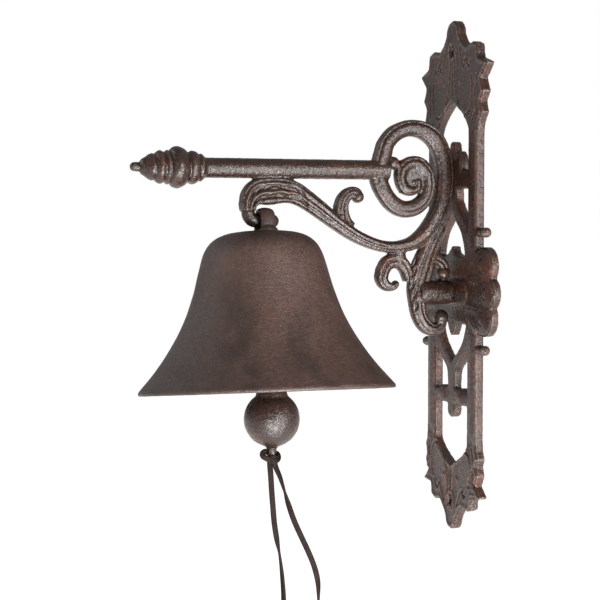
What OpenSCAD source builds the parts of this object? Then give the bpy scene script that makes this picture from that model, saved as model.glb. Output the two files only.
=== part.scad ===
// Wall mounted cast-iron bell: an openwork wall plate, a scrolled bracket arm with a hook,
// a flared bell that hangs from the hook, and a ball clapper with a leather pull lace.
// Millimetres. The wall is the plane y = 0, the arm points to -y and z is up.
// The origin is the centre of the wall plate's back face, midway between the screw holes.

/* [Wall plate] */
// Thickness of the wall plate
plate_thickness = 6; // [5:0.5:7]
// Distance between the two wall screw holes
hole_spacing = 291; // [289:0.5:293]
// Diameter of the wall screw holes
hole_diameter = 7; // [5:0.5:8]
// Width of each of the two long rails
rail_width = 12; // [10:0.5:13]
// Distance between the rails' centres
rail_spacing = 62; // [60:0.5:64]

/* [Bracket arm] */
// Diameter of the round bar
bar_diameter = 12.4; // [11:0.2:14]
// Height of the bar above the plate's centre
bar_height = 68.5; // [67:0.5:70]
// Distance from the wall to the tip of the finial
arm_reach = 217.5; // [210:0.5:225]
// Thickness of the scrollwork, side to side
scroll_thickness = 11; // [9:0.5:13]
// Diameter of the boss that joins the arm to the plate
boss_diameter = 15.6; // [14:0.2:18]
// Thread diameter of the two screws that hold the arm on the plate
arm_screw_diameter = 5; // [4:0.5:5]

/* [Hook] */
// Distance from the wall to the middle of the hook's saddle
hook_reach = 132.5; // [131:0.5:134]
// Height of the hook's bar, which is the bell's pivot
hook_height = 36; // [35:0.5:37]
// Diameter of the hook's bar
hook_diameter = 8.4; // [8:0.2:8.8]

/* [Bell] */
// Outer diameter of the bell's mouth
mouth_diameter = 160; // [150:1:164]
// Height of the bell from its mouth to the top of its crown
bell_height = 99; // [96:1:101]
// Thickness of the bell's wall
bell_wall = 4.5; // [3.5:0.5:5]
// Sideways lean at which the bell hangs, because its eye is cast off centre
bell_lean = 6.5; // [5:0.5:7]
// Distance of the eye from the bell's own axis
eye_offset = 7; // [6:0.1:8]

/* [Clapper] */
// Diameter of the striking ball
ball_diameter = 35.2; // [32:0.2:37]
// Height of the ball's centre
ball_height = -87.8; // [-90:0.1:-86]
// Distance from the wall to the clapper's line of hang
clapper_reach = 128; // [127:0.5:129]
// Height of the wire staple's bar inside the bell
staple_height = 10; // [8:0.5:11]

/* [Pull lace] */
// Width of the leather lace
lace_width = 3.6; // [3:0.2:4]

/* [Hidden] */

round_fn = 64;    // smoothness of turned shapes
small_fn = 24;    // smoothness of small round shapes in flat outlines
iron = "#4b3c36";
dark_iron = "#3b302c";
leather = "#3a2922";
steel = "#6b6662";

front = plate_thickness;    // distance from the wall to the plate's front face

// Wall plate, right half as (x, z). The edge runs from the rail round the leaf to the end.
upper_edge = [
    [37, 92], [38, 97], [43, 103.5], [40.5, 110.5], [45.5, 116.5], [41, 124.5], [51, 133.5],
    [37.5, 138], [36, 146.5], [30, 148.5], [20, 146.5], [13, 151], [9, 156], [0, 156]
];
lower_edge = [
    [37, -104], [37.5, -109], [40, -114], [37.5, -119], [40, -124.5], [36, -131.5], [44.5, -138.5],
    [31, -139.5], [30.5, -147], [25, -149.5], [17, -148], [10, -154], [7, -158], [0, -158]
];
plate_end = 165;            // height of the plate's two rounded ends
upper_tab_radius = 9;
lower_tab_radius = 7.2;
upper_arch = [92, 113];     // spring and crown of the pointed arch at the top
lower_arch = [-106, -122.5];
ogee_power = 1.7;           // how sharply the arches come to a point
rosette_lobes = [[46.5, 8, 11.8], [51.5, -9, 9.8], [46.5, -24.5, 11.5]];    // x, z, radius
knobs = [[28.8, 48.5], [-44.8, 47.5]];       // z and outer end of the rails' side knobs
crossbar_z = 62.5;          // upper crossbar, where the arm's ring is screwed on
lower_bar_z = -77.5;
bud_x = 13.8;               // ball buds beside the lower stem
bud_radius = 5.6;
pad_z = -10;                // centre of the boss and of the smooth pad behind it
pad_half_width = 26;
pad_height = 15;
pad_rise = 1.5;             // how far the pad stands in front of the plate

// Scrollwork of the arm as (distance from wall, height, half width)
ring_path = [
    [57, 70, 5], [54, 78.5, 5.6], [52, 85, 5.3], [47, 91, 5.3], [41.5, 94, 5.2], [35, 95.5, 5.3],
    [26.5, 94.2, 5.7], [19, 89.5, 6], [13.6, 80.5, 5.8], [11.2, 69, 5.6], [11.4, 58, 5.5], [13.5, 47, 5.5],
    [18.5, 36.5, 5.5], [25.5, 27.6, 5.1], [34, 21.8, 4.4], [44.5, 19.6, 3.7], [54, 20, 3.7], [64, 22.9, 3.8],
    [74, 27.5, 4.1], [84, 34, 4.6], [97, 43.5, 5.5], [105, 49, 6], [113, 53.4, 7], [121, 55.2, 8.2],
    [129, 54.8, 8.9], [136, 54.2, 8.5], [140.8, 51.2, 7.4], [143.3, 46.6, 5.6], [143.3, 42.4, 4.9]
];
spiral_path = [
    [57, 70, 6], [56.6, 62, 5.8], [53.3, 54.4, 5.4], [47.5, 47.4, 5.4], [40, 43.8, 5.4], [32, 44.8, 5.2],
    [25.5, 50, 4.8], [22.8, 58, 4.6], [23.6, 66, 5], [28.5, 72, 5], [35, 73.2, 4.3], [41, 69, 4.2],
    [42, 62.5, 3.5], [39.5, 57, 3.6], [34.5, 55.5, 3.3], [30.5, 58, 2.8]
];
spiral_disc = [33, 64, 9.5];
ring_bud = [47, 73, 4.2];
branch_path = [
    [80, 33, 5.6], [82, 39, 5.4], [82.3, 45, 4.7], [80.6, 50.4, 4.2], [76.8, 54, 3.8], [72, 53.8, 3.6],
    [70.8, 51, 4]
];
lower_curl_path = [
    [36, 0, 3.6], [38.5, 6, 4.4], [43.5, 10.4, 4.8], [50, 9.6, 4.8], [53.8, 4.5, 4.4], [54.6, -1, 4.2],
    [51.6, -5.2, 3.5], [47, -6, 2.8]
];
curl_root_path = [[43, 12, 5], [43, 19, 4]];
stem_path = [
    [14, 34, 5], [18.5, 25, 5.6], [23, 15, 6.8], [27, 4, 8], [30, -7, 6.8], [30.2, -16, 5.4], [28.4, -25, 5],
    [24, -31.6, 4.8], [18, -34, 4.3], [13.6, -31, 4], [13, -26, 5]
];
upper_curl_path = [
    [24, 8, 4], [20, 11.6, 4], [15.5, 11, 3.6], [11.4, 6.8, 3.6], [11.4, 2.4, 4.8]
];

// Finial, as (distance from wall, radius) from the bar to the tip
finial_profile = [
    [170.5, 6.2], [172.1, 7.4], [173.4, 8.6], [174.8, 8.4], [177, 9.8], [179.8, 10.3], [181.6, 9.9],
    [184, 11.2], [188, 12.9], [191.5, 12], [193.2, 10.9], [194.6, 11], [196.2, 10.1], [198.6, 10.6],
    [201, 9.6], [202.4, 9], [203.8, 8.9], [205.8, 7.2], [208.2, 6.9], [210.4, 4.8], [211.6, 3.2],
    [213.4, 2.8], [215.5, 2.7], [217, 1.6]
];

// Bell profile as (height above the mouth, outer radius) at the standard size
bell_profile = [
    [0, 80], [3, 79], [8, 74.6], [15, 68.7], [24, 62.2], [35, 55.4], [48, 49], [62, 44],
    [76, 40.2], [85, 37.6], [91, 34.4], [95.5, 29.6], [98.2, 23], [99, 16]
];
lip_thickness = 2.6;
crown_thickness = 5.5;
eye_radius = 9.6;
eye_thickness = 10;
eye_hole_radius = 5.8;
eye_hole_drop = 1.25;       // the eye's hole hangs this far below the hook's axis
crown_drop = 6.8;           // from the pivot down to the top of the crown

staple_wire = 3.6;
staple_width = 13;          // between the staple's legs
staple_seat = 2;            // how far the legs go into the crown
link_wire = 3;
link_ring = 4.6;            // radius of the link's two rings, to the wire's centre
link_pitch = 13;            // between the link's two pivots
clapper_eye_wire = 3.6;
clapper_eye_ring = 5.2;
pivot_gap = 0.45;           // free play left between two linked wires
shank_radius = 3.1;
neck_radius = 2.8;
neck_end = -112;            // bottom of the neck under the ball
knot_height = -109.5;

// Routes of the two lace tails (x, y, z), from the knot to their cut ends
left_route = [
    [-1.9, -128.8, -113], [-1.9, -128.6, -118], [-2, -128, -125], [-2.2, -127.4, -134], [-2.5, -126.5, -144],
    [-3, -125.5, -154], [-3.5, -123.8, -164], [-4, -121.8, -174], [-4.2, -120.4, -184],
    [-4.4, -119.4, -194], [-4.5, -118.8, -204], [-4.5, -118.6, -214], [-4.4, -118.6, -224],
    [-4.2, -118.8, -234], [-4, -119, -244], [-3.8, -119.2, -254], [-3.6, -119.4, -264], [-3.4, -119.6, -274]
];
right_route = [
    [1.9, -127, -113], [1.9, -126, -118], [2, -123.4, -124], [2.2, -120.8, -132], [2.5, -117.8, -142],
    [3, -114.4, -152], [3.5, -110, -162], [4, -105.4, -172], [4.4, -101.4, -182], [4.6, -99, -192],
    [4.7, -98.6, -202], [4.7, -98.8, -212], [4.6, -99.2, -222], [4.5, -99.6, -232], [4.4, -100, -242],
    [4.3, -100.2, -252], [4.2, -100.3, -262]
];

// ---- Curves ----

// A point on the smooth curve through p, between its points i and i + 1
function between(p, i, t) =
    let (
        a = p[max(i - 1, 0)],
        b = p[i],
        c = p[i + 1],
        d = p[min(i + 2, len(p) - 1)]
    )
    0.5 * (2 * b + (c - a) * t + (2 * a - 5 * b + 4 * c - d) * t * t + (3 * b - a - 3 * c + d) * t * t * t);

// The smooth curve through p, with n steps between neighbours
function smooth(p, n) = concat(
    [for (i = [0 : len(p) - 2], j = [0 : n - 1]) between(p, i, j / n)],
    [p[len(p) - 1]]
);

function flat(p) = [p.x, p.y];
function unit(v) = v / norm(v);

// Direction of travel at point i of a path
function heading(p, i) = unit(p[min(i + 1, len(p) - 1)] - p[max(i - 1, 0)]);

// The point beside point i of a flat path, at the path's own half width times side
function beside(p, i, side) =
    let (h = unit(flat(p[min(i + 1, len(p) - 1)]) - flat(p[max(i - 1, 0)])))
    flat(p[i]) + side * p[i][2] * [-h.y, h.x];

// A ribbon along a path of (x, y, half width), with round ends
module stroke(path, n = 3) {
    p = smooth(path, n);
    for (i = [0 : len(p) - 2]) {
        polygon([beside(p, i, 1), beside(p, i + 1, 1), beside(p, i + 1, -1), beside(p, i, -1)]);
    }
    for (e = [p[0], p[len(p) - 1]]) {
        translate(flat(e)) circle(r = e[2], $fn = small_fn);
    }
}

// Rounds the corners of a flat shape, as a casting's are
module cast_edges(r) {
    offset(r = -r, $fn = small_fn) offset(delta = r)
        offset(r = r, $fn = small_fn) offset(delta = -r)
            children();
}

module both_sides() {
    children();
    mirror([1, 0]) children();
}

// Places a flat (x, z) shape against the wall, and gives it a thickness
module on_wall(thickness) {
    rotate([90, 0, 0]) linear_extrude(thickness) children();
}

// Places a flat (distance from wall, z) shape in the arm's plane
module in_arm_plane(thickness) {
    rotate([90, 0, -90]) linear_extrude(thickness, center = true) children();
}

// A cylinder along the y axis that starts at a distance from the wall and goes further out
module outward_rod(radius, start, length, fn = round_fn) {
    translate([0, -start, 0]) rotate([90, 0, 0]) cylinder(r = radius, h = length, $fn = fn);
}

// ---- Wall plate ----

// Half width of a pointed arch at a height that runs from 0 at its spring to 1 at its crown
function arch_half(t) = (rail_spacing - rail_width) / 2 * (1 - pow(t, ogee_power));

module arch(levels) {
    steps = 8;
    side = [for (i = [0 : steps]) [arch_half(i / steps), levels[0] + (levels[1] - levels[0]) * i / steps]];
    polygon(concat(side, [for (i = [steps : -1 : 0]) [-side[i].x, side[i].y]]));
}

module leaf_end(edge, arch_levels, tab_radius, end) {
    difference() {
        union() {
            both_sides() polygon(concat([[0, edge[0].y]], edge));
            hull() {
                translate([0, end - sign(end) * tab_radius]) circle(r = tab_radius, $fn = 40);
                translate([0, edge[len(edge) - 1].y]) square([2 * edge[len(edge) - 2].x, 1], center = true);
            }
        }
        arch(arch_levels);
        translate([0, edge[0].y - sign(end) * 2]) square([rail_spacing - rail_width, 8], center = true);
    }
}

module rails() {
    top = upper_edge[0].y + 2;
    bottom = lower_edge[0].y - 2;
    both_sides() {
        translate([(rail_spacing - rail_width) / 2, bottom]) square([rail_width, top - bottom]);
        for (k = knobs) {
            translate([k[1] - 3, k[0]]) circle(r = 3.2, $fn = small_fn);
            translate([36, k[0] - 2]) square([k[1] - 39, 4]);
        }
    }
}

module upper_ornament() {
    translate([0, crossbar_z]) square([rail_spacing - rail_width + 4, 11.5], center = true);
    stroke([[0, 66, 7], [0, 74, 5.8], [0, 81, 4.2], [0, 84.5, 3]]);
    both_sides() {
        stroke([[7, 64, 5], [10.5, 71, 3.8], [10.2, 76, 3], [9, 78.6, 2.4]]);
        stroke([[2, 54, 5], [3, 47, 5], [9, 39.5, 5], [17, 32, 4.6], [22, 22, 4], [25, 10, 4]]);
    }
}

module rosette() {
    both_sides() {
        for (lobe = rosette_lobes) {
            translate([lobe[0], lobe[1]]) circle(r = lobe[2], $fn = 40);
        }
        stroke([[3, 13, 3], [14, 9, 4], [27, 10, 6]]);
    }
    translate([-rosette_lobes[0].x, -30]) square([2 * rosette_lobes[0].x, 42]);
    stroke([[0, 8, 7], [0, 14, 5.4], [1, 18.5, 1.6]]);
    stroke([[0, -28, 6], [0, -33, 4.6], [0, -36, 2]]);
}

module lower_ornament() {
    both_sides() {
        stroke([[25, -34, 4], [20.5, -43, 4], [12, -51, 3.8], [3, -58, 4], [1, -66, 4.2]]);
        translate([bud_x, lower_bar_z + 0.5]) circle(r = bud_radius, $fn = 40);
        stroke([[0, lower_bar_z, 5], [12, lower_bar_z, 5], [26, lower_bar_z - 1, 3.5]]);
    }
    stroke([[0, -60, 4.2], [0, -74, 5], [0, -82, 5], [0, -86.5, 5]]);
}

module plate_outline() {
    cast_edges(0.9) {
        leaf_end(upper_edge, upper_arch, upper_tab_radius, plate_end);
        leaf_end(lower_edge, lower_arch, lower_tab_radius, -plate_end);
        rails();
        upper_ornament();
        rosette();
        lower_ornament();
    }
}

module wall_plate() {
    color(iron) difference() {
        union() {
            on_wall(plate_thickness) plate_outline();
            on_wall(plate_thickness + pad_rise) translate([0, pad_z]) pad_outline();
            both_x() translate([bud_x, -front + 0.6, lower_bar_z + 0.5]) bead(bud_radius - 0.8, 2.6);
        }
        for (z = [-hole_spacing / 2, hole_spacing / 2]) {
            translate([0, 1, z]) outward_rod(hole_diameter / 2, 0, plate_thickness + 2);
        }
        for (z = [crossbar_z, pad_z]) {
            translate([0, 0, z]) screw_hole();
        }
    }
}

module both_x() {
    children();
    mirror([1, 0, 0]) children();
}

module pad_outline() {
    for (x = [-1, 1]) {
        translate([x * (pad_half_width - pad_height / 2), 0]) circle(d = pad_height, $fn = 40);
    }
    square([2 * pad_half_width - pad_height, pad_height], center = true);
}

// A low round bead that stands on a face towards -y
module bead(radius, height) {
    rotate([90, 0, 0]) rotate_extrude($fn = 48)
        polygon(concat([[0, 0]], [for (a = [0 : 15 : 90]) [radius * cos(a), height * sin(a)]]));
}

// ---- Arm screws: countersunk from the plate's back ----

head_radius = arm_screw_diameter * 0.92;
head_depth = 2.7;
screw_length = 13;
screw_play = 0.25;

module screw_hole() {
    translate([0, 1, 0]) outward_rod(arm_screw_diameter / 2 + screw_play, 0, plate_thickness + pad_rise + 2);
    wide = head_radius + screw_play;
    narrow = arm_screw_diameter / 2 + screw_play;
    translate([0, 0.01, 0]) rotate([90, 0, 0])
        cylinder(r1 = wide, r2 = narrow, h = head_depth + 0.2, $fn = round_fn);
}

module arm_screw(z) {
    slot = 1.2;
    translate([0, 0, z]) difference() {
        union() {
            rotate([90, 0, 0]) translate([0, 0, 0.2])
                cylinder(r1 = head_radius, r2 = arm_screw_diameter / 2, h = head_depth, $fn = round_fn);
            outward_rod(arm_screw_diameter / 2, 0.2, screw_length);
        }
        translate([-head_radius - 1, -1.2, -slot / 2]) cube([2 * head_radius + 2, 2, slot]);
    }
}

module upper_arm_screw() {
    color(steel) arm_screw(crossbar_z);
}

module lower_arm_screw() {
    color(steel) arm_screw(pad_z);
}

// ---- Bracket arm ----

module scroll_outline() {
    cast_edges(0.7) {
        stroke(ring_path);
        stroke(spiral_path);
        for (dot = [spiral_disc, ring_bud]) {
            translate(flat(dot)) circle(r = dot[2], $fn = 40);
        }
    }
}

module leafwork_outline() {
    cast_edges(0.7) {
        stroke(branch_path);
        stroke(lower_curl_path);
        stroke(curl_root_path);
        stroke(stem_path);
        stroke(upper_curl_path);
    }
}

// The round bar and its turned finial
module bar_and_finial() {
    bar_start = 50;
    bar_end = finial_profile[0][0];
    standard_reach = 217.5;
    stretch = (arm_reach - bar_end) / (standard_reach - bar_end);
    finial = [for (p = finial_profile) [p[1], bar_end + (p[0] - bar_end) * stretch]];
    translate([0, 0, bar_height]) rotate([90, 0, 0]) rotate_extrude($fn = round_fn)
        polygon(concat([[0, bar_start], [bar_diameter / 2, bar_start]], finial, [[0, arm_reach]]));
}

hook_bend = 5;              // radius of the hook's bend, to the bar's centre
hook_shank = 143.3;         // distance from the wall to the hook's shank
hook_rise = 6;              // from the bend up into the leaves
hook_tip = 127.6;           // where the hook's straight bar ends

module hook() {
    r = hook_diameter / 2;
    bend_start = hook_shank - hook_bend;
    outward = bend_start - hook_tip;
    translate([0, 0, hook_height]) outward_rod(r, hook_tip, outward);
    translate([0, -hook_tip, hook_height]) sphere(r = r, $fn = round_fn);
    translate([0, -bend_start, hook_height + hook_bend]) rotate([90, 0, -90]) rotate([0, 0, -90])
        rotate_extrude(angle = 90, $fn = round_fn) translate([hook_bend, 0]) circle(r = r, $fn = 40);
    translate([0, -hook_shank, hook_height + hook_bend]) cylinder(r = r, h = hook_rise, $fn = 40);
}

module bracket_arm() {
    color(dark_iron) difference() {
        union() {
            in_arm_plane(scroll_thickness) scroll_outline();
            in_arm_plane(scroll_thickness - 2) leafwork_outline();
            bar_and_finial();
            hook();
            translate([0, 0, pad_z]) outward_rod(boss_diameter / 2, front + pad_rise, 22);
        }
        // The ring is cast flat where it bears on the plate's crossbar
        translate([-10, -front, 40]) cube([20, 10, 50]);
        translate([0, 0, crossbar_z]) outward_rod(arm_screw_diameter / 2 + 0.05, front - 1, screw_length - 4);
        translate([0, 0, pad_z]) outward_rod(arm_screw_diameter / 2 + 0.05, front, screw_length - 4);
    }
}

// ---- Bell ----

// Places children in the bell's own frame: its origin is the pivot, its z is the bell's axis
module bell_frame() {
    translate([0, -hook_reach, hook_height]) rotate([0, -bell_lean, 0]) children();
}

// Unit vector to the left of a direction
function square_to(v) = unit([-v.y, v.x]);

standard_mouth = 160;
standard_height = 99;
function at_size(p) = [p[1] * mouth_diameter / standard_mouth, p[0] * bell_height / standard_height];

module bell_section() {
    outer = smooth([for (p = bell_profile) at_size(p)], 2);
    last = len(outer) - 1;
    inner = [for (i = [0 : last])
        let (wall = lip_thickness + (bell_wall - lip_thickness) * min(1, i / 5))
        if (outer[i].y < bell_height - crown_thickness - 1 && i > 0)
            outer[i] + wall * square_to(outer[i + 1] - outer[i - 1])
    ];
    roof = bell_height - crown_thickness;
    under = [for (p = inner) if (p.y < roof - 1) p];
    polygon(concat(
        [[outer[0].x - lip_thickness, 0]],
        outer,
        [[0, bell_height], [0, roof], [under[len(under) - 1].x * 0.8, roof]],
        [for (i = [len(under) - 1 : -1 : 0]) under[i]]
    ));
}

module bell() {
    color(iron) difference() {
        union() {
            bell_frame() {
                translate([-eye_offset, 0, -crown_drop - bell_height])
                    rotate_extrude($fn = 128) bell_section();
                difference() {
                    translate([0, eye_thickness / 2, -eye_hole_drop])
                        rotate([90, 0, 0]) linear_extrude(eye_thickness)
                        cast_edges(0.8) {
                            circle(r = eye_radius, $fn = 48);
                            translate([-eye_radius, -crown_drop]) square([2 * eye_radius, crown_drop - 1]);
                            translate([0, -crown_drop + 0.4]) square([2 * eye_radius + 5, 2], center = true);
                        }
                    translate([0, 10, -eye_hole_drop]) rotate([90, 0, 0])
                        cylinder(r = eye_hole_radius, h = 20, $fn = round_fn);
                }
            }
        }
        for (side = [-1, 1]) {
            translate([side * staple_width / 2, -clapper_reach, staple_height + 4])
                cylinder(d = staple_wire + 0.1, h = staple_leg - 4, $fn = 40);
        }
    }
}

// ---- Clapper staple, link and clapper ----

// Length of the staple's legs, up into the crown
staple_leg = hook_height - crown_drop - crown_thickness + staple_seat - staple_height;

// A quarter of a bent wire, in the x-z plane
module wire_bend(bend, wire, start) {
    rotate([90, 0, 0]) rotate([0, 0, start]) rotate_extrude(angle = 90, $fn = round_fn)
        translate([bend, 0]) circle(d = wire, $fn = 24);
}

module clapper_staple() {
    bend = 3.5;
    half = staple_width / 2;
    color(steel) translate([0, -clapper_reach, staple_height]) {
        translate([-half + bend, 0, 0]) rotate([0, 90, 0])
            cylinder(d = staple_wire, h = staple_width - 2 * bend, $fn = 24);
        for (side = [-1, 1]) {
            translate([side * (half - bend), 0, bend]) wire_bend(bend, staple_wire, side > 0 ? -90 : 180);
            translate([side * half, 0, bend]) cylinder(d = staple_wire, h = staple_leg - bend, $fn = 24);
        }
    }
}

// A whole ring of round wire whose hole runs along x
module ring_along_x(radius, wire) {
    rotate([0, 90, 0]) rotate_extrude($fn = round_fn) translate([radius, 0]) circle(d = wire, $fn = 24);
}

// How far a ring's centre hangs below the centre of the wire that carries it
link_hang = link_ring - link_wire / 2 - staple_wire / 2 - pivot_gap;
lower_hang = link_ring - link_wire / 2 - clapper_eye_wire / 2 - pivot_gap;
lower_pivot = staple_height - link_pitch;

module clapper_link() {
    top_centre = -link_hang;
    bottom_centre = -link_pitch + lower_hang;
    color(steel) translate([0, -clapper_reach, staple_height]) {
        translate([0, 0, top_centre]) ring_along_x(link_ring, link_wire);
        translate([0, 0, bottom_centre]) rotate([0, 0, 90]) ring_along_x(link_ring, link_wire);
    }
}

module clapper() {
    eye_centre = lower_pivot - clapper_eye_ring;
    shank_top = eye_centre - clapper_eye_ring;
    ball_radius = ball_diameter / 2;
    ball_top = ball_height + ball_radius;
    profile = concat(
        [[0, shank_top], [shank_radius, shank_top], [shank_radius, shank_top - 20],
         [shank_radius + 0.8, ball_top + 7], [shank_radius + 2.4, ball_top + 2]],
        [for (a = [70 : -5 : -75]) [ball_radius * cos(a), ball_height + ball_radius * sin(a)]],
        [[neck_radius, ball_height - ball_radius - 1.2], [neck_radius, neck_end], [0, neck_end]]
    );
    color(dark_iron) translate([0, -clapper_reach, 0]) {
        translate([0, 0, eye_centre]) ring_along_x(clapper_eye_ring, clapper_eye_wire);
        rotate_extrude($fn = round_fn) polygon(profile);
    }
}

// ---- Pull lace ----

module lace_knot() {
    wrap_radius = 5.4;
    color(leather) translate([0, -clapper_reach, knot_height]) {
        difference() {
            union() {
                translate([0, 0, -5.6]) cylinder(r = wrap_radius, h = 8.3, $fn = 40);
                translate([0, -4.5, 0]) rotate([90, 0, 0]) cylinder(r = 2.4, h = 4.6, $fn = 40);
            }
            translate([0, 0, neck_end - knot_height]) cylinder(r = neck_radius + 0.02, h = 6, $fn = 40);
        }
    }
}

// One ring of a tube's section, square to the route at point i
function tube_ring(route, i, radius, sides) =
    let (
        along = heading(route, i),
        across = unit(cross(along, [1, 0, 0])),
        over = cross(along, across)
    )
    [for (k = [0 : sides - 1])
        let (turn = 360 * k / sides)
        route[i] + radius * (cos(turn) * across + sin(turn) * over)];

module tube(route, radius, sides = 8) {
    n = len(route);
    points = [for (i = [0 : n - 1]) each tube_ring(route, i, radius, sides)];
    walls = [for (i = [0 : n - 2], k = [0 : sides - 1])
        let (j = (k + 1) % sides)
        [i * sides + k, (i + 1) * sides + k, (i + 1) * sides + j, i * sides + j]];
    start_cap = [for (k = [0 : sides - 1]) k];
    end_cap = [for (k = [sides - 1 : -1 : 0]) (n - 1) * sides + k];
    polyhedron(points, concat([start_cap], walls, [end_cap]), convexity = 4);
}

module lace_tail_left() {
    color(leather) tube(left_route, lace_width / 2);
}

module lace_tail_right() {
    color(leather) tube(right_route, lace_width / 2);
}

wall_plate();
bracket_arm();
upper_arm_screw();
lower_arm_screw();
bell();
clapper_staple();
clapper_link();
clapper();
lace_knot();
lace_tail_left();
lace_tail_right();
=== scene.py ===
"""Looks of a wall mounted cast-iron bell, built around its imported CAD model.

Lengths in the tables below are millimetres in the CAD frame: the wall is the plane y = 0, the arm points
to -y and z is up. In the arm's own plane a point is (distance from the wall, height). Blender objects are
in metres.
"""

import math

import bpy
import numpy as np
from mathutils import Matrix, Vector, noise
from mathutils.kdtree import KDTree


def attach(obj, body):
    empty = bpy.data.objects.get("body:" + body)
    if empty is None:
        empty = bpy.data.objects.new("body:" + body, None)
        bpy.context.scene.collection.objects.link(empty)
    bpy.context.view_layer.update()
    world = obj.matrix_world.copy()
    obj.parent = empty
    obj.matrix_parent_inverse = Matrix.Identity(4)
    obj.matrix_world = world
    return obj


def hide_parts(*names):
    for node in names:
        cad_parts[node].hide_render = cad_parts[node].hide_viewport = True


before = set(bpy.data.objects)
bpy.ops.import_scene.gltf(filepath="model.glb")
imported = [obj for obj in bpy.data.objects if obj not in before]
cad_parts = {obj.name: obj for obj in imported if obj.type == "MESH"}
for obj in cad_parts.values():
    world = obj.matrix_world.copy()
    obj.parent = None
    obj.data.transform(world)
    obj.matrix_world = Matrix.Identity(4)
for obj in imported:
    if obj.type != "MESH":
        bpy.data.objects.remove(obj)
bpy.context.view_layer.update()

MM = 0.001

# ---- Driving dimensions, as in the CAD model ----

BAR_HEIGHT = 68.5
BAR_RADIUS = 6.2
PLATE_FRONT = 6.0
PAD_Z = -10.0
BOSS_RADIUS = 7.8
PIVOT = (0.0, -132.5, 36.0)          # the bell's eye on the hook's bar
HOOK_RADIUS = 4.2
HOOK_BEND = 5.0
HOOK_SHANK = 143.3
HOOK_RISE = 6
HOOK_TIP = 127.6
BELL_LEAN = math.radians(6.5)
BELL_HEIGHT = 99.0
EYE_OFFSET = 7.0
CROWN_DROP = 6.8
CLAPPER_Y = -128.0
BALL_Z = -87.8
BALL_RADIUS = 17.6
LACE_WIDTH = 3.6
LACE_THICKNESS = 1.7


# ---- Camera, then the cords ----

def add_camera():
    """The photograph's view: a little to the right of square on to the arm, almost level."""
    data = bpy.data.cameras.new("camera")
    data.lens = 87
    data.sensor_width = 36
    camera = bpy.data.objects.new("camera", data)
    bpy.context.scene.collection.objects.link(camera)
    camera.location = (0.86216, -0.39785, 0.03069)
    forward = Vector((-0.94721, 0.31693, -0.04853))
    camera.rotation_euler = forward.to_track_quat("-Z", "Y").to_euler()
    bpy.context.scene.camera = camera


add_camera()

# Directions across the view and along it, which the lace's twists are given in
ACROSS_VIEW = np.array([0.317, 0.948, 0.0])
ALONG_VIEW = np.array([-0.948, 0.317, 0.0])

LEFT_ROUTE = [
    (-1.9, -128.8, -113), (-1.9, -128.6, -118), (-2, -128, -125), (-2.2, -127.4, -134), (-2.5, -126.5, -144),
    (-3, -125.5, -154), (-3.5, -123.8, -164), (-4, -121.8, -174), (-4.2, -120.4, -184),
    (-4.4, -119.4, -194), (-4.5, -118.8, -204), (-4.5, -118.6, -214), (-4.4, -118.6, -224),
    (-4.2, -118.8, -234), (-4, -119, -244), (-3.8, -119.2, -254), (-3.6, -119.4, -264), (-3.4, -119.6, -274),
]
RIGHT_ROUTE = [
    (1.9, -127, -113), (1.9, -126, -118), (2, -123.4, -124), (2.2, -120.8, -132), (2.5, -117.8, -142),
    (3, -114.4, -152), (3.5, -110, -162), (4, -105.4, -172), (4.4, -101.4, -182), (4.6, -99, -192),
    (4.7, -98.6, -202), (4.7, -98.8, -212), (4.6, -99.2, -222), (4.5, -99.6, -232), (4.4, -100, -242),
    (4.3, -100.2, -252), (4.2, -100.3, -262),
]
# How far each tail has turned at a depth below the plate's centre, as (depth, degrees from square on)
LEFT_TWIST = [(113, 0), (150, 5), (161, 15), (172, 88), (188, 120), (202, 135), (235, 200), (274, 240)]
RIGHT_TWIST = [(113, 20), (125, 60), (133, 88), (142, 150), (150, 175), (185, 185), (193, 225), (202, 262),
               (230, 330), (262, 360)]


# ---- Curves and closed shapes, each as (points, faces) in millimetres ----

def smooth_path(points, steps):
    """The Catmull-Rom curve through the points, with that many steps between neighbours."""
    p = np.array(points, float)
    out = []
    for i in range(len(p) - 1):
        a, b, c, d = p[max(i - 1, 0)], p[i], p[i + 1], p[min(i + 2, len(p) - 1)]
        for t in np.arange(steps) / steps:
            out.append(0.5 * (2 * b + (c - a) * t + (2 * a - 5 * b + 4 * c - d) * t ** 2
                              + (3 * b - a - 3 * c + d) * t ** 3))
    out.append(p[-1])
    return np.array(out)


def stack_rings(rings):
    """A closed skin over rings that all have the same number of points."""
    count = len(rings[0])
    points = np.concatenate(rings)
    faces = [tuple(range(count - 1, -1, -1))]
    for i in range(len(rings) - 1):
        for k in range(count):
            j = (k + 1) % count
            faces.append((i * count + k, i * count + j, (i + 1) * count + j, (i + 1) * count + k))
    last = (len(rings) - 1) * count
    faces.append(tuple(range(last, last + count)))
    return points, faces


def arm_sweep(path, thickness, grooves=(), power=0.6, steps=8, count=48):
    """A scroll in the arm's plane. path is (distance from wall, height, half width). grooves are (place
    across, depth, width), each as a share of the half width, and run the whole length of both faces."""
    p = smooth_path(path, steps)
    angles = 2 * np.pi * np.arange(count) / count
    u = np.cos(angles)
    s = np.sin(angles)
    x = thickness / 2 * np.sign(s) * np.abs(s) ** power
    for place, depth, width in grooves:
        x = x * (1 - depth * np.exp(-((u - place) / width) ** 2))
    rings = []
    for i in range(len(p)):
        h = p[min(i + 1, len(p) - 1)][:2] - p[max(i - 1, 0)][:2]
        h = h / np.linalg.norm(h)
        side = np.array([-h[1], h[0]])
        flat = p[i][:2] + np.outer(u * p[i][2], side)
        rings.append(np.column_stack([x, -flat[:, 0], flat[:, 1]]))
    return stack_rings(rings)


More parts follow.
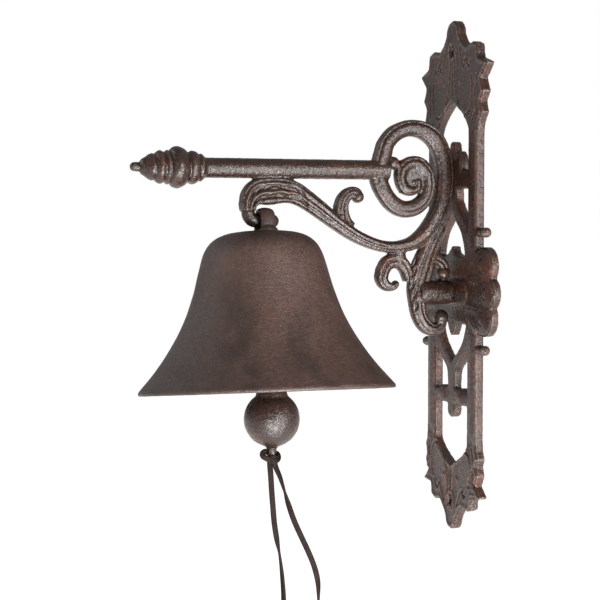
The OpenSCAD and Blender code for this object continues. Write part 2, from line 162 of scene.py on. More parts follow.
def ball(centre, radii, turn=0.0, count=28):
    """An ellipsoid; turn rotates it about the x axis, in degrees."""
    rings = []
    around = 2 * np.pi * np.arange(count) / count
    for a in np.linspace(-88, 88, count // 2):
        wide = math.cos(math.radians(a))
        high = np.full(count, math.sin(math.radians(a)) * radii[2])
        x = wide * np.cos(around) * radii[0]
        y = wide * np.sin(around) * radii[1]
        rings.append(np.column_stack([x, y, high]))
    points, faces = stack_rings(rings)
    t = math.radians(turn)
    y = points[:, 1] * math.cos(t) - points[:, 2] * math.sin(t)
    z = points[:, 1] * math.sin(t) + points[:, 2] * math.cos(t)
    return np.column_stack([points[:, 0], y, z]) + np.array(centre, float), faces


def arm_ball(reach, height, radius, thickness=None):
    """A ball in the arm's plane, at a distance from the wall and a height."""
    return ball((0, -reach, height), (thickness or radius, radius, radius))


def turned(profile, place, count=96):
    """A shape turned about an axis. profile is (distance along it, radius) and place maps local points."""
    angles = 2 * np.pi * np.arange(count) / count
    rings = []
    for along, radius in profile:
        r = max(radius, 0.02)
        rings.append(place(np.column_stack([r * np.cos(angles), r * np.sin(angles), np.full(count, along)])))
    return stack_rings(rings)


def outward(height):
    """Maps a turned shape's axis to the one that leaves the wall at a height."""
    return lambda p: np.column_stack([p[:, 0], -p[:, 2], p[:, 1] + height])


def upright(x, y):
    """Maps a turned shape's axis to a vertical one."""
    return lambda p: p + np.array([x, y, 0.0])


def tube(path, radius, count=24):
    """A round tube along points in space; radius is one number or one for each point."""
    p = np.array(path, float)
    radii = np.broadcast_to(radius, len(p))
    rings = []
    side = np.array([1.0, 0.0, 0.0])
    for i in range(len(p)):
        h = p[min(i + 1, len(p) - 1)] - p[max(i - 1, 0)]
        h = h / np.linalg.norm(h)
        side = side - h * side.dot(h)
        side = side / np.linalg.norm(side)
        over = np.cross(h, side)
        a = 2 * np.pi * np.arange(count) / count
        rings.append(p[i] + radii[i] * (np.outer(np.cos(a), side) + np.outer(np.sin(a), over)))
    return stack_rings(rings)


def strap(path, across, width, thickness):
    """A flat strap with rounded edges along points in space. across is its width's direction at each."""
    p = np.array(path, float)
    a = 2 * np.pi * np.arange(20) / 20
    u = np.sign(np.cos(a)) * np.abs(np.cos(a)) ** 0.35 * width / 2
    v = np.sign(np.sin(a)) * np.abs(np.sin(a)) ** 0.7 * thickness / 2
    rings = []
    for i in range(len(p)):
        h = p[min(i + 1, len(p) - 1)] - p[max(i - 1, 0)]
        h = h / np.linalg.norm(h)
        w = across[i] - h * across[i].dot(h)
        w = w / np.linalg.norm(w)
        rings.append(p[i] + np.outer(u, w) + np.outer(v, np.cross(h, w)))
    return stack_rings(rings)


def joined(shapes):
    """Several (points, faces) as one."""
    points, faces, start = [], [], 0
    for p, f in shapes:
        points.append(p)
        faces.extend(tuple(i + start for i in face) for face in f)
        start += len(p)
    return np.concatenate(points), faces


# ---- Blender pieces ----

def make_object(name, shape):
    points, faces = shape
    mesh = bpy.data.meshes.new(name)
    mesh.from_pydata((np.array(points) * MM).tolist(), [], faces)
    mesh.update()
    piece = bpy.data.objects.new(name, mesh)
    bpy.context.scene.collection.objects.link(piece)
    return piece


def apply_modifiers(piece):
    """Bakes a piece's modifiers into its own mesh."""
    graph = bpy.context.evaluated_depsgraph_get()
    mesh = bpy.data.meshes.new_from_object(piece.evaluated_get(graph))
    piece.modifiers.clear()
    piece.data = mesh


def melt(piece, voxel, passes):
    """Joins a piece's overlapping shapes into one skin, with the soft inner corners of a casting."""
    remesh = piece.modifiers.new("remesh", "REMESH")
    remesh.mode = "VOXEL"
    remesh.voxel_size = voxel * MM
    smooth = piece.modifiers.new("smooth", "SMOOTH")
    smooth.factor = 0.5
    smooth.iterations = passes
    apply_modifiers(piece)


def get_points(piece):
    co = np.zeros(len(piece.data.vertices) * 3, np.float32)
    piece.data.vertices.foreach_get("co", co)
    return co.reshape(-1, 3).astype(float) / MM


def get_normals(piece):
    co = np.zeros(len(piece.data.vertices) * 3, np.float32)
    piece.data.vertices.foreach_get("normal", co)
    return co.reshape(-1, 3).astype(float)


def set_points(piece, points):
    piece.data.vertices.foreach_set("co", (points * MM).astype(np.float32).ravel())
    piece.data.update()


def sand_cast(piece, depth, size):
    """Roughens a piece's skin with the slow waves and pits of a sand casting."""
    points = get_points(piece)
    normals = get_normals(piece)
    rough = np.array([
        noise.noise(Vector(p / size)) + 0.5 * noise.noise(Vector(p / size * 2.7)) for p in points
    ])
    set_points(piece, points + normals * (rough * depth)[:, None])


def finish_piece(piece, body, slot, material, *nodes):
    """Gives a piece its material and its body, and hides the CAD nodes that it stands for. The slot argument
    is not used.
    """
    piece.data.materials.clear()
    piece.data.materials.append(material)
    for polygon in piece.data.polygons:
        polygon.use_smooth = True
    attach(piece, body)
    if nodes:
        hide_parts(*nodes)
    return piece


# ---- Materials ----

class Nodes:
    """Short calls for a material's node tree. Coordinates are the object's own, in millimetres."""

    def __init__(self, name):
        self.material = bpy.data.materials.new(name)
        self.material.use_nodes = True
        self.tree = self.material.node_tree
        self.shader = self.tree.nodes["Principled BSDF"]
        place = self.tree.nodes.new("ShaderNodeTexCoord")
        scale = self.tree.nodes.new("ShaderNodeMapping")
        scale.inputs["Scale"].default_value = (1000, 1000, 1000)
        self.tree.links.new(place.outputs["Object"], scale.inputs["Vector"])
        self.place = scale.outputs["Vector"]

    def link(self, source, target):
        self.tree.links.new(source, target)

    def noise(self, size, detail=3.0, rough=0.55, place=None):
        n = self.tree.nodes.new("ShaderNodeTexNoise")
        n.inputs["Scale"].default_value = 1 / size
        n.inputs["Detail"].default_value = detail
        n.inputs["Roughness"].default_value = rough
        self.link(place or self.place, n.inputs["Vector"])
        return n.outputs["Fac"]

    def cells(self, size):
        n = self.tree.nodes.new("ShaderNodeTexVoronoi")
        n.inputs["Scale"].default_value = 1 / size
        self.link(self.place, n.inputs["Vector"])
        return n.outputs["Distance"]

    def stretch(self, value, low, high, to_low=0.0, to_high=1.0):
        n = self.tree.nodes.new("ShaderNodeMapRange")
        n.inputs["From Min"].default_value = low
        n.inputs["From Max"].default_value = high
        n.inputs["To Min"].default_value = to_low
        n.inputs["To Max"].default_value = to_high
        self.link(value, n.inputs["Value"])
        return n.outputs["Result"]

    def math(self, operation, a, b):
        n = self.tree.nodes.new("ShaderNodeMath")
        n.operation = operation
        for socket, value in zip(n.inputs, (a, b)):
            if isinstance(value, (int, float)):
                socket.default_value = value
            else:
                self.link(value, socket)
        return n.outputs[0]

    def mix(self, share, a, b):
        n = self.tree.nodes.new("ShaderNodeMix")
        n.data_type = "RGBA"
        self.link(share, n.inputs["Factor"])
        for socket, value in ((n.inputs["A"], a), (n.inputs["B"], b)):
            if isinstance(value, tuple):
                socket.default_value = value + (1.0,)
            else:
                self.link(value, socket)
        return n.outputs["Result"]

    def pointiness(self):
        return self.tree.nodes.new("ShaderNodeNewGeometry").outputs["Pointiness"]

    def bump(self, height, distance, strength=1.0, under=None):
        n = self.tree.nodes.new("ShaderNodeBump")
        n.inputs["Distance"].default_value = distance * MM
        n.inputs["Strength"].default_value = strength
        self.link(height, n.inputs["Height"])
        if under is not None:
            self.link(under, n.inputs["Normal"])
        return n.outputs["Normal"]


def cast_iron(name, dark, light, rust_share, gloss, grain, wear=0.55, streaks=0.0):
    """Brown patinated cast iron: slow colour clouds, rust spots, sand grain, worn edges that shine, and
    painted shade that darkens the hollows.
    """
    m = Nodes(name)
    clouds = m.stretch(m.noise(24, 5, 0.6), 0.32, 0.68)
    base = m.mix(clouds, dark, light)
    if streaks:
        upright_place = m.tree.nodes.new("ShaderNodeMapping")
        upright_place.inputs["Scale"].default_value = (1, 1, 0.3)
        m.link(m.place, upright_place.inputs["Vector"])
        streak = m.noise(19, 3, 0.5, upright_place.outputs["Vector"])
        base = m.mix(m.stretch(streak, 0.50, 0.68, 0.0, streaks), base, tuple(0.35 * c for c in dark))
    mottle = m.stretch(m.noise(3.2, 4, 0.65), 0.35, 0.7, 0.0, 0.6)
    base = m.mix(mottle, base, tuple(0.5 * c for c in dark))
    rust_cloud = m.stretch(m.noise(17, 6, 0.62), 0.66 - rust_share, 0.80 - rust_share)
    rust_spot = m.stretch(m.noise(2.3, 5, 0.7), 0.42, 0.62, 0.0, 0.85)
    rust = m.math("MULTIPLY", rust_cloud, rust_spot)
    base = m.mix(rust, base, (0.085, 0.024, 0.012))
    edges = m.stretch(m.pointiness(), 0.507, 0.57)
    edges = m.math("MULTIPLY", edges, m.stretch(m.noise(1.3, 4, 0.7), 0.38, 0.62))
    edges = m.math("MULTIPLY", edges, wear)
    base = m.mix(edges, base, (0.155, 0.110, 0.090))
    # Painted shade: concave places (low pointiness) are darkened towards a fifth of the dark colour
    hollow_shade = m.stretch(m.pointiness(), 0.492, 0.46)
    base = m.mix(hollow_shade, base, tuple(0.2 * c for c in dark))
    m.link(base, m.shader.inputs["Base Color"])
    polish = m.stretch(m.noise(1.6, 5, 0.75), 0.44, 0.60, 0.16, -0.08)
    rough = m.math("ADD", m.math("SUBTRACT", polish, m.math("MULTIPLY", edges, 0.10)), gloss)
    m.link(rough, m.shader.inputs["Roughness"])
    m.shader.inputs["Specular IOR Level"].default_value = 0.5
    m.shader.inputs["Metallic"].default_value = 0.0
    pits = m.stretch(m.cells(1.5), 0.0, 0.5)
    fine = m.noise(0.55, 3, 0.6)
    under = m.bump(m.noise(2.2, 4, 0.65), 0.9 * grain, 0.7)
    under = m.bump(pits, 0.35 * grain, 0.6, under)
    m.link(m.bump(fine, 0.25 * grain, 0.7, under), m.shader.inputs["Normal"])
    return m.material


def wire_steel(name, colour, gloss):
    """Dull wire or screw steel with a fine bumpy grain and a little soot."""
    m = Nodes(name)
    soot = m.stretch(m.noise(4, 5, 0.65), 0.35, 0.7)
    m.link(m.mix(soot, colour, tuple(0.45 * c for c in colour)), m.shader.inputs["Base Color"])
    m.shader.inputs["Metallic"].default_value = 0.9
    rough = m.stretch(m.noise(0.7, 4, 0.6), 0.3, 0.7, gloss - 0.1, gloss + 0.12)
    m.link(rough, m.shader.inputs["Roughness"])
    m.link(m.bump(m.noise(0.35, 3, 0.6), 0.05, 0.6), m.shader.inputs["Normal"])
    return m.material


def lace_leather(name):
    """Dark brown lace leather: slow colour clouds, fine pores and paler cut edges."""
    m = Nodes(name)
    clouds = m.stretch(m.noise(6, 5, 0.6), 0.3, 0.7)
    base = m.mix(clouds, (0.007, 0.0038, 0.003), (0.015, 0.0082, 0.0062))
    edges = m.stretch(m.pointiness(), 0.52, 0.62, 0.0, 0.6)
    base = m.mix(edges, base, (0.028, 0.016, 0.012))
    m.link(base, m.shader.inputs["Base Color"])
    m.link(m.stretch(m.noise(1.0, 4, 0.6), 0.3, 0.7, 0.62, 0.80), m.shader.inputs["Roughness"])
    m.shader.inputs["Specular IOR Level"].default_value = 0.12
    under = m.bump(m.noise(1.6, 4, 0.65), 0.16, 0.6)
    m.link(m.bump(m.stretch(m.cells(0.42), 0.0, 0.6), 0.05, 0.6, under), m.shader.inputs["Normal"])
    return m.material


PLATE_IRON = cast_iron("plate_iron", (0.020, 0.0082, 0.0050), (0.042, 0.0175, 0.0112), 0.18, 0.22, 0.65, 1.0)
ARM_IRON = cast_iron("arm_iron", (0.018, 0.008, 0.005), (0.038, 0.017, 0.011), 0.11, 0.17, 0.5, 0.9)
BELL_IRON = cast_iron("bell_iron", (0.052, 0.027, 0.020), (0.074, 0.040, 0.031), 0.05, 0.44, 0.6, 0.55, 0.7)
CLAPPER_IRON = cast_iron("clapper_iron", (0.018, 0.009, 0.007), (0.036, 0.019, 0.014), 0.11, 0.19, 0.6, 0.9)
WIRE = wire_steel("wire", (0.22, 0.20, 0.19), 0.45)
SCREW = wire_steel("screw", (0.36, 0.35, 0.33), 0.38)
LEATHER = lace_leather("lace_leather")


# ---- Pull lace ----

def twisted_tail(route, twist):
    path = smooth_path(route, 6)
    turn = np.radians(np.interp(-path[:, 2], [t[0] for t in twist], [t[1] for t in twist]))
    across = np.outer(np.cos(turn), ACROSS_VIEW) + np.outer(np.sin(turn), ALONG_VIEW)
    return path, strap(path, across, LACE_WIDTH, LACE_THICKNESS)


def knot_strap(points, across, steps=8):
    path = smooth_path(points, steps)
    return strap(path, smooth_path(across, steps), LACE_WIDTH, LACE_THICKNESS)


def lace_knot_shape():
    """The lace goes once round the neck, crosses at the front and is pulled tight under its own loop."""
    y = CLAPPER_Y
    turns = []
    for k in range(25):
        a = math.radians(15 * k)
        turns.append((3.7 * math.sin(a), y - 3.7 * math.cos(a), -112.2 + 0.5 * math.sin(a)))
    wrap = strap(turns, [np.array([0.0, 0.0, 1.0])] * len(turns), 3.0, LACE_THICKNESS)
    left_loop = knot_strap(
        [(1.0, y + 1.8, -114.0), (3.4, y - 1.2, -113.4), (4.4, y - 4.4, -112.0), (4.0, y - 6.9, -110.4),
         (3.2, y - 7.0, -108.6), (1.8, y - 5.0, -107.8), (-0.8, y - 3.2, -108.4), (-3.6, y - 0.8, -109.6),
         (-4.2, y + 1.4, -110.6)],
        [(0, 0, -1), (0, -0.3, -1), (0, -0.5, -1), (0, -1, -0.4), (0, -0.9, 0.7), (0, -0.2, 1), (0.3, 0, 1),
         (0, 0, 1), (0, 0, 1)])
    right_loop = knot_strap(
        [(-3.8, y + 1.4, -109.6), (-1.2, y + 3.6, -110.0), (1.6, y + 3.7, -111.6), (3.4, y + 2.6, -113.0),
         (4.4, y + 0.2, -113.6), (3.4, y - 1.8, -113.2)],
        [(0, 0, 1), (0, 0.5, 1), (0, 1, 0.2), (0, 0.7, -0.8), (0, 0.1, -1), (0, 0, -1)])
    return joined([wrap, left_loop, right_loop])


knot = make_object("lace_wrap_and_knot", lace_knot_shape())
finish_piece(knot, "clapper", "lace", LEATHER, "lace_knot")

for side, route, twist in (("left", LEFT_ROUTE, LEFT_TWIST), ("right", RIGHT_ROUTE, RIGHT_TWIST)):
    path, shape = twisted_tail(route, twist)
    tail = make_object("lace_strip_" + side, shape)
    finish_piece(tail, "clapper", "lace", LEATHER, "lace_tail_" + side)


# ---- Bracket arm ----

RING = [
    (57, 70, 5), (54, 78.5, 5.6), (52, 85, 5.3), (47, 91, 5.3), (41.5, 94, 5.2), (35, 95.5, 5.3),
    (26.5, 94.2, 5.7), (19, 89.5, 6), (13.6, 80.5, 5.8), (11.2, 69, 5.6), (11.4, 58, 5.5), (13.5, 47, 5.5),
    (18.5, 36.5, 5.5), (25.5, 27.6, 5.1), (34, 21.8, 4.4), (44.5, 19.6, 3.7), (54, 20, 3.7),
]
BRACE = [
    (25.5, 27.6, 4.6), (34, 21.8, 4.3), (44.5, 19.6, 3.7), (54, 20, 3.7), (64, 22.9, 3.8), (74, 27.5, 4.1),
    (84, 34, 4.6), (97, 43.5, 5.5), (105, 49, 6), (113, 53.4, 7), (121, 55.2, 8.2), (129, 54.8, 8.9),
    (136, 54.2, 8.5), (140.8, 51.2, 7.4), (143.3, 46.6, 5.6), (143.3, 42.4, 4.9),
]
RING_SIDE = [
    (57, 70, 6), (56.6, 62, 5.8), (53.3, 54.4, 5.4), (47.5, 47.4, 5.4), (40, 43.8, 5.4), (32, 44.8, 5.2),
    (25.5, 50, 4.8), (22.8, 58, 4.6), (23.6, 66, 4.8), (28.5, 72, 4.6),
]
SPIRAL = [
    (22.8, 58, 4.2), (23.6, 66, 4.8), (28.5, 72, 5), (35, 73.2, 4.3), (41, 69, 4.2), (42, 62.5, 3.5),
    (39.5, 57, 3.4), (34.5, 55.2, 3), (30.6, 57.4, 2.6), (30.2, 62, 2.2),
]
SPIRAL_DISC = [(33, 75, 9.5), (33, 54, 9.5)]
BRANCH = [
    (78, 31, 6.2), (80.6, 35, 5.6), (82, 40, 5.1), (82.2, 45, 4.7), (80.6, 50, 4.3), (77, 53.4, 3.9),
    (73, 54, 3.7), (70.9, 52, 3.4),
]
LOWER_CURL = [
    (36, -2, 3.4), (38.5, 6, 4.4), (43.5, 10.4, 4.8), (50, 9.6, 4.8), (53.8, 4.5, 4.4), (54.6, -1, 4.2),
    (51.6, -5.2, 3.4), (47, -6, 2.4), (44.6, -4, 1.8),
]
CURL_ROOT = [(43, 10, 5.4), (43, 19, 4)]
STEM = [
    (14, 34, 5), (18.5, 25, 5.6), (23, 15, 6.8), (27, 4, 8), (30, -7, 6.8), (30.2, -16, 5.4), (28.4, -25, 5),
    (24, -31.6, 4.8), (18, -34, 4.2), (13.6, -31, 3.6), (12.6, -26.5, 3),
]
UPPER_CURL = [(26, 6, 4), (21, 11.4, 4.2), (15.5, 11, 3.8), (11.4, 6.8, 3.4), (11.4, 2.4, 3)]
# Diagonal cuts that make the leaf blades: (distance from wall, height, direction in degrees, half length)
STEM_CUTS = [
    (32.4, 9, 118, 4.4), (33.2, 2.5, 116, 4.4), (33.4, -4.5, 112, 4.0), (32.6, -11.5, 106, 3.6),
    (31.4, -18.5, 98, 3.2),
]
HOOK_CUTS = [
    (139, 56, -38, 6), (133, 57.5, -18, 7), (126, 58, 4, 8), (136.5, 50.4, -36, 6), (130, 51.6, -12, 7),
    (122, 52.5, 12, 7), (113, 56.4, 26, 8), (111, 50.6, 30, 8),
]
# The finial's (distance from wall, radius)
FINIAL_PROFILE = [
    (170.5, 6.2), (172.1, 7.4), (173.4, 8.6), (174.8, 8.2), (177, 9.8), (179.8, 10.3), (181.6, 9.1),
    (184, 11.2), (188, 12.9), (191.5, 12), (193.2, 9.9), (194.6, 10.7), (196.4, 9.2), (198.8, 10.3),
    (201, 9.4), (202.4, 8.0), (204, 8.3), (206.2, 7.4), (208.2, 5.9), (210.2, 4.8), (211.6, 3), (213.4, 2.9),
    (215.5, 2.7), (217, 1.6), (217.45, 0.2),
]


def bar_shape():
    return joined([
        turned([(50, BAR_RADIUS), (110, BAR_RADIUS), (171, BAR_RADIUS)], outward(BAR_HEIGHT)),
        turned(smooth_path(FINIAL_PROFILE, 5), outward(BAR_HEIGHT)),
    ])


def hook_shape():
    """The hook's shank comes down out of the leaf and turns through the bell's eye towards the wall."""
    bend_y = HOOK_SHANK - HOOK_BEND
    path = [(0, -HOOK_SHANK, PIVOT[2] + HOOK_BEND + HOOK_RISE - t) for t in range(0, HOOK_RISE + 1, 2)]
    for a in range(10, 91, 10):
        r = math.radians(a)
        path.append((0, -(bend_y + HOOK_BEND * math.cos(r)), PIVOT[2] + HOOK_BEND * (1 - math.sin(r))))
    path.append((0, -HOOK_TIP, PIVOT[2]))
    return joined([tube(path, HOOK_RADIUS), ball((0, -HOOK_TIP, PIVOT[2]), (HOOK_RADIUS,) * 3)])


def boss_shape():
    profile = [(PLATE_FRONT + 1.4, BOSS_RADIUS - 0.3), (9, BOSS_RADIUS), (26, BOSS_RADIUS),
               (28.6, BOSS_RADIUS - 1), (29.6, BOSS_RADIUS - 3.4)]
    return turned(profile, outward(PAD_Z))


def arm_shape():
    edge_bead = ((-0.58, 0.26, 0.10), (0.74, 0.14, 0.10))
    flutes = ((-0.50, 0.26, 0.14), (0.10, 0.24, 0.14), (0.66, 0.20, 0.10))
    shapes = [
        arm_sweep(RING, 11, edge_bead, 0.5),
        arm_sweep(BRACE, 11.6, flutes, 0.55),
        arm_sweep(RING_SIDE, 10, ((0.40, 0.22, 0.14),), 0.6),
        arm_sweep(SPIRAL, 9.6, ((0.45, 0.22, 0.16),), 0.7),
        arm_sweep(SPIRAL_DISC, 7.0, (), 0.5),
        arm_ball(33.6, 60.6, 2.6, 4.5),
        arm_ball(47, 73, 4.3, 5.0),
        arm_ball(44.6, 71.2, 2.6, 5.0),
        arm_sweep(BRANCH, 9, ((0.3, 0.24, 0.16), (-0.4, 0.16, 0.14)), 0.6),
        arm_ball(71.0, 51.4, 4.0, 5.2),
        arm_sweep(LOWER_CURL, 9.4, ((0.1, 0.26, 0.18),), 0.6),
        arm_sweep(CURL_ROOT, 8.6, (), 0.6),
        arm_ball(45, -4.2, 2.4, 3.4),
        arm_sweep(STEM, 9.4, ((-0.45, 0.24, 0.13), (0.25, 0.20, 0.13)), 0.6),
        arm_ball(13.2, -26, 5.0, 5.8),
        arm_sweep(UPPER_CURL, 8.6, ((0.0, 0.24, 0.2),), 0.6),
        arm_ball(11.6, 2.4, 4.7, 5.2),
        bar_shape(),
        hook_shape(),
        boss_shape(),
    ]
    return joined(shapes)


def carve(piece, cuts, depth, width):
    """Presses short straight grooves into both faces of the arm."""
    points = get_points(piece)
    normals = get_normals(piece)
    reach, height = -points[:, 1], points[:, 2]
    press = np.zeros(len(points))
    for cx, cz, turn, half in cuts:
        t = math.radians(turn)
        along = (reach - cx) * math.cos(t) + (height - cz) * math.sin(t)
        across = (height - cz) * math.cos(t) - (reach - cx) * math.sin(t)
        bow = across + 0.05 * along ** 2
        press = np.maximum(press, np.exp(-(along / half) ** 4 - (bow / width) ** 2))
    points[:, 0] -= np.sign(points[:, 0]) * press * depth * np.clip(np.abs(normals[:, 0]) * 1.4, 0, 1)
    set_points(piece, points)


arm = make_object("bracket_casting", arm_shape())
melt(arm, 0.6, 2)
carve(arm, STEM_CUTS, 1.3, 0.8)
carve(arm, HOOK_CUTS, 1.4, 1.0)
sand_cast(arm, 0.13, 2.2)
finish_piece(arm, "bracket", "arm_iron", ARM_IRON, "bracket_arm")


# ---- Wall plate: the CAD plate's outline with the relief that is cast on its face ----

LEAF_LINES = [
    [(3.2, 150), (3.0, 138), (4.4, 124), (9, 113), (15, 105.5), (22, 103.5), (27.5, 107), (30, 116),
     (29, 127)],
    [(11, 147), (14, 139), (17, 134), (20, 139), (24.5, 133.5), (27.5, 137)],
    [(31, 100), (35, 108), (34, 117), (36.5, 127)],
]
LOWER_LEAF_LINES = [
    [(3.2, -150), (3.4, -141), (5.0, -130), (9, -120), (15, -113), (22, -110.5), (28, -114), (30, -122),
     (28, -133)],
    [(10, -148), (14, -141), (18, -137), (21, -141), (25, -136)],
    [(32, -108), (34.5, -116), (33, -124), (36, -132)],
]
PETALS = [(46.5, 8, 11.8), (51.5, -9, 9.8), (46.5, -24.5, 11.5)]
DOTS = [(11.4, 125), (10.1, -130.7)]
KNOBS = [(45.5, 28.8), (44.5, -44.8)]


def distance_to_line(x, z, line):
    """Distance from points to a polyline in the plate's plane."""
    pts = smooth_path(line, 4)
    best = np.full(len(x), 1e9)
    for a, b in zip(pts[:-1], pts[1:]):
        d = b - a
        t = np.clip(((x - a[0]) * d[0] + (z - a[1]) * d[1]) / d.dot(d), 0, 1)
        best = np.minimum(best, np.hypot(x - a[0] - t * d[0], z - a[1] - t * d[1]))
    return best


def bump_at(x, z, cx, cz, radius, power=2):
    return np.exp(-(np.hypot(x - cx, z - cz) / radius) ** power)


def plate_relief(x, z, edge):
    """How far the plate's face stands proud, in millimetres, at points edge from the outline."""
    ax = np.abs(x)
    rise = -0.9 * np.clip(1 - edge / 1.3, 0, 1) ** 2
    leaf_zone = np.clip((np.abs(z + 2) - 96) / 6, 0, 1)
    rim = 0.45 * np.exp(-((edge - 1.7) / 0.9) ** 2)
    rise += leaf_zone * (rim - 0.25 * np.clip((edge - 2.6) / 1.5, 0, 1))
    rise -= leaf_zone * 0.9 * np.exp(-(x / 0.9) ** 2) * (np.abs(z) < 152)
    for line in LEAF_LINES + LOWER_LEAF_LINES:
        d = distance_to_line(ax, z, line)
        rise += -1.25 * np.exp(-(d / 0.65) ** 2) + 0.40 * np.exp(-((d - 1.6) / 0.7) ** 2)
    for cx, cz in DOTS:
        rise += 1.0 * bump_at(ax, z, cx, cz, 1.5)
    # The rails have a low round bead along them
    rail_zone = (1 - leaf_zone) * np.clip(1 - np.abs(ax - 31) / 6, 0, 1)
    rise += 0.8 * rail_zone ** 0.7 * np.clip((np.abs(z + 8) - 24) / 6, 0, 1)
    rosette = np.clip((ax - 40) / 4, 0, 1) * (np.abs(z + 9) < 30)
    rise -= rosette * 1.5 * np.clip(1 - edge / 4.0, 0, 1) ** 2
    for cx, cz, r in PETALS:
        d = np.hypot(ax - cx, z - cz)
        rise += 1.3 * np.exp(-(d / (0.62 * r)) ** 4)
        rise -= 0.8 * np.exp(-((d - 0.36 * r) / 0.8) ** 2) * (ax < cx + 1)
        rise += 0.8 * bump_at(ax, z, cx, cz, 0.2 * r)
    for px, pz, turn, half in ((36, 14, 35, 9), (36, -30, -35, 9), (31, -1, 5, 8), (31, -19, -5, 8)):
        t = math.radians(turn)
        along = (ax - px) * math.cos(t) + (z - pz) * math.sin(t)
        across = -(ax - px) * math.sin(t) + (z - pz) * math.cos(t)
        rise += 1.1 * np.exp(-(along / half) ** 4 - (across / 2.4) ** 2)
        rise -= 0.7 * np.exp(-(along / half) ** 4 - (across / 0.6) ** 2)
    return rise


def plate_object():
    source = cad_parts["wall_plate"]
    piece = bpy.data.objects.new("openwork_plate", source.data.copy())
    bpy.context.scene.collection.objects.link(piece)
    melt(piece, 0.7, 2)
    points = get_points(piece)
    normals = get_normals(piece)
    wall = (np.abs(normals[:, 1]) < 0.5) & (points[:, 1] > -PLATE_FRONT + 0.8) & (points[:, 1] < -0.8)
    tree = KDTree(int(wall.sum()))
    for i, p in enumerate(points[wall]):
        tree.insert((p[0], p[2], 0), i)
    tree.balance()
    face = np.where(points[:, 1] < -PLATE_FRONT + 0.9)[0]
    edge = np.array([tree.find((points[i, 0], points[i, 2], 0))[2] for i in face])
    rise = plate_relief(points[face, 0], points[face, 2], edge)
    share = np.clip((-points[face, 1] - PLATE_FRONT + 0.9) / 0.6, 0, 1)
    pad = np.exp(-(np.clip(np.abs(points[face, 0]) - 18, 0, None) / 6) ** 2
                 - ((points[face, 2] - PAD_Z) / 9.5) ** 8)
    points[face, 1] -= rise * share * (1 - pad)
    for cx, cz in KNOBS:
        off = np.hypot(np.abs(points[:, 0]) - cx, points[:, 2] - cz)
        knob = (np.abs(points[:, 0]) > 41) & (off < 4.4)
        dome = np.sqrt(np.clip(1 - (off[knob] / 3.35) ** 2, 0.12, 1))
        points[knob, 1] = -3 + (points[knob, 1] + 3) * dome * 1.12
    set_points(piece, points)
    return piece


plate = plate_object()
sand_cast(plate, 0.09, 2.6)
finish_piece(plate, "bracket", "plate_iron", PLATE_IRON, "wall_plate")


# ---- Bell ----

BELL_PROFILE = [
    (0, 79.7), (1.1, 80), (2.2, 79.6), (3.4, 78.6), (8, 74.6), (15, 68.7), (24, 62.2), (35, 55.4), (48, 49),
    (62, 44), (76, 40.2), (85, 37.6), (91, 34.4), (95.5, 29.6), (98.2, 23), (99, 16), (99.1, 8),
    (99.1, 0.05),
]
LIP = 2.6
WALL = 4.5
ROOF = 93.5


def lean(p):
    """Maps points from the bell's own frame, whose origin is its pivot, to the CAD frame."""
    turn = Matrix.Rotation(-BELL_LEAN, 3, "Y")
    return np.array(p) @ np.array(turn).T + np.array(PIVOT)


def bell_body():
    """The wall of the bell, turned in one closed skin from the crown over the lip and back up inside."""
    outer = smooth_path(BELL_PROFILE, 4)
    outer = outer[outer[:, 1] > 0.04]
    inner = []
    for i in range(1, len(outer) - 1):
        d = outer[i + 1] - outer[i - 1]
        normal = np.array([d[1], -d[0]]) / np.linalg.norm(d)
        wall = LIP + (WALL - LIP) * min(1, outer[i][0] / 12)
        q = outer[i] + wall * normal * (1 if normal[1] < 0 else -1)
        if q[0] < ROOF and outer[i][0] < ROOF - 2:
            inner.append(q)
    inner = np.array(inner)
    top = inner[-1]
    roof = [(ROOF - 1.2, top[1] - 1.2), (ROOF, top[1] - 4), (ROOF, top[1] * 0.5), (ROOF, 0.05)]
    lip_round = [(-0.15, 79.3), (-0.25, 78.6), (-0.1, 77.9)]
    profile = list(outer[::-1]) + lip_round + list(inner) + roof
    centre = np.array([-EYE_OFFSET, 0, -CROWN_DROP - BELL_HEIGHT])
    return turned(profile, lambda p: lean(p + centre), 160)


def eye_shape():
    """The cast loop on the crown that hangs on the hook."""
    ring = []
    for k in range(49):
        a = 2 * math.pi * k / 48
        ring.append((7.7 * math.sin(a), 0, -1.25 + 7.7 * math.cos(a)))
    points, faces = tube(ring, 1.9, 20)
    points[:, 1] *= 2.6
    shapes = [(points, faces)]
    for x in (-7.6, 7.6):
        shapes.append(ball((x, 0, -7.6), (4.6, 6.4, 4.2)))
    shapes.append(ball((0, 0, -9.2), (12, 7.6, 3.0)))
    points, faces = joined(shapes)
    return lean(points), faces


bell = make_object("bell_casting", bell_body())
sand_cast(bell, 0.10, 9)
eye = make_object("bell_eye", eye_shape())
melt(eye, 0.5, 3)
sand_cast(eye, 0.08, 2.4)
finish_piece(bell, "bell", "bell_iron", BELL_IRON, "bell")
finish_piece(eye, "bell", "bell_iron", BELL_IRON, "bell")


# ---- Clapper ----

def clapper_shape():
    ball_part = [(BALL_Z + BALL_RADIUS * math.sin(math.radians(a)), BALL_RADIUS * math.cos(math.radians(a)))
                 for a in range(54, -77, -4)]
    profile = [(-13.4, 1.2), (-13.6, 3.1), (-33.6, 3.1), (-60, 3.9), (-64, 5.6), (-67.6, 7.8), (-71, 9.5)]
    profile += ball_part
    profile += [(-105.9, 3.4), (-107.4, 2.9), (-111.6, 2.8), (-112, 2.2)]
    eye_ring = []
    for k in range(49):
        a = 2 * math.pi * k / 48
        eye_ring.append((0, CLAPPER_Y + 5.2 * math.cos(a), -8.2 + 5.2 * math.sin(a)))
    return joined([turned(profile, upright(0, CLAPPER_Y), 72), tube(eye_ring, 1.8, 20)])


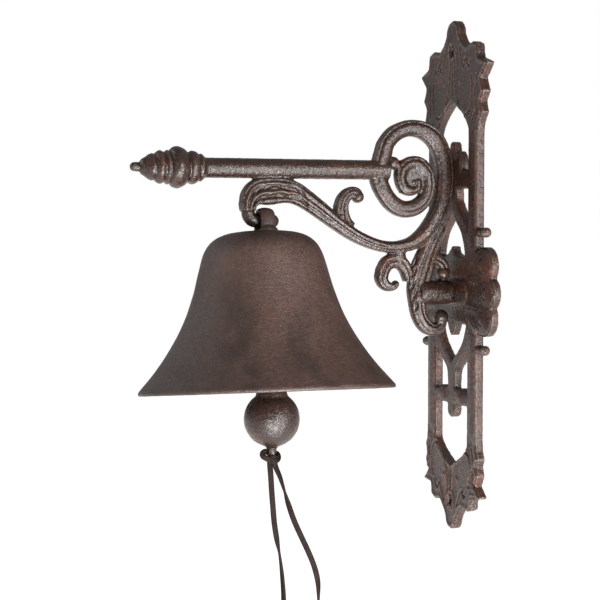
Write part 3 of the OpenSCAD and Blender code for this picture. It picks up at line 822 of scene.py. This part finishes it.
clapper = make_object("clapper_casting", clapper_shape())
melt(clapper, 0.5, 2)
sand_cast(clapper, 0.12, 3.0)
finish_piece(clapper, "clapper", "clapper_iron", CLAPPER_IRON, "clapper")


# ---- CAD nodes that stay ----

for node, material in (("clapper_staple", WIRE), ("clapper_link", WIRE),
                       ("upper_arm_screw", SCREW), ("lower_arm_screw", SCREW)):
    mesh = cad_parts[node].data
    mesh.materials.clear()
    mesh.materials.append(material)


# ---- Floor and light ----

def add_floor():
    reach = 6.0 / MM
    corners = [(-reach, -reach, 0), (reach, -reach, 0), (reach, reach, 0), (-reach, reach, 0)]
    floor = make_object("floor", (corners, [(0, 1, 2, 3)]))
    floor.location.z = -0.36
    material = bpy.data.materials.new("floor")
    material.use_nodes = True
    shader = material.node_tree.nodes["Principled BSDF"]
    shader.inputs["Base Color"].default_value = (0.93, 0.93, 0.93, 1)
    shader.inputs["Roughness"].default_value = 0.9
    shader.inputs["Emission Color"].default_value = (1, 1, 1, 1)
    shader.inputs["Emission Strength"].default_value = 0.72
    floor.data.materials.append(material)


def add_area_light(name, place, target, size, power):
    data = bpy.data.lights.new(name, "AREA")
    data.size = size
    data.energy = power
    light = bpy.data.objects.new(name, data)
    light.location = place
    light.rotation_euler = (Vector(target) - Vector(place)).to_track_quat("-Z", "Y").to_euler()
    bpy.context.scene.collection.objects.link(light)


def add_world():
    """A soft dim studio that shows as a plain white background."""
    world = bpy.data.worlds.new("world")
    world.use_nodes = True
    tree = world.node_tree
    rays = tree.nodes.new("ShaderNodeLightPath")
    strength = tree.nodes.new("ShaderNodeMapRange")
    strength.inputs["To Min"].default_value = 0.34
    strength.inputs["To Max"].default_value = 1.0
    tree.links.new(rays.outputs["Is Camera Ray"], strength.inputs["Value"])
    tree.nodes["Background"].inputs["Color"].default_value = (1, 1, 1, 1)
    tree.links.new(strength.outputs["Result"], tree.nodes["Background"].inputs["Strength"])
    bpy.context.scene.world = world


def add_light():
    bpy.context.scene.view_settings.view_transform = "Standard"
    add_world()
    target = (0, -0.10, 0)
    add_area_light("key", (0.98, 0.27, 0.03), target, 0.26, 10)
    add_area_light("low_fill", (0.42, -0.16, -0.33), target, 0.18, 7)
    add_area_light("rim", (-0.5, -0.9, 0.5), target, 0.5, 2)


add_floor()
add_light()
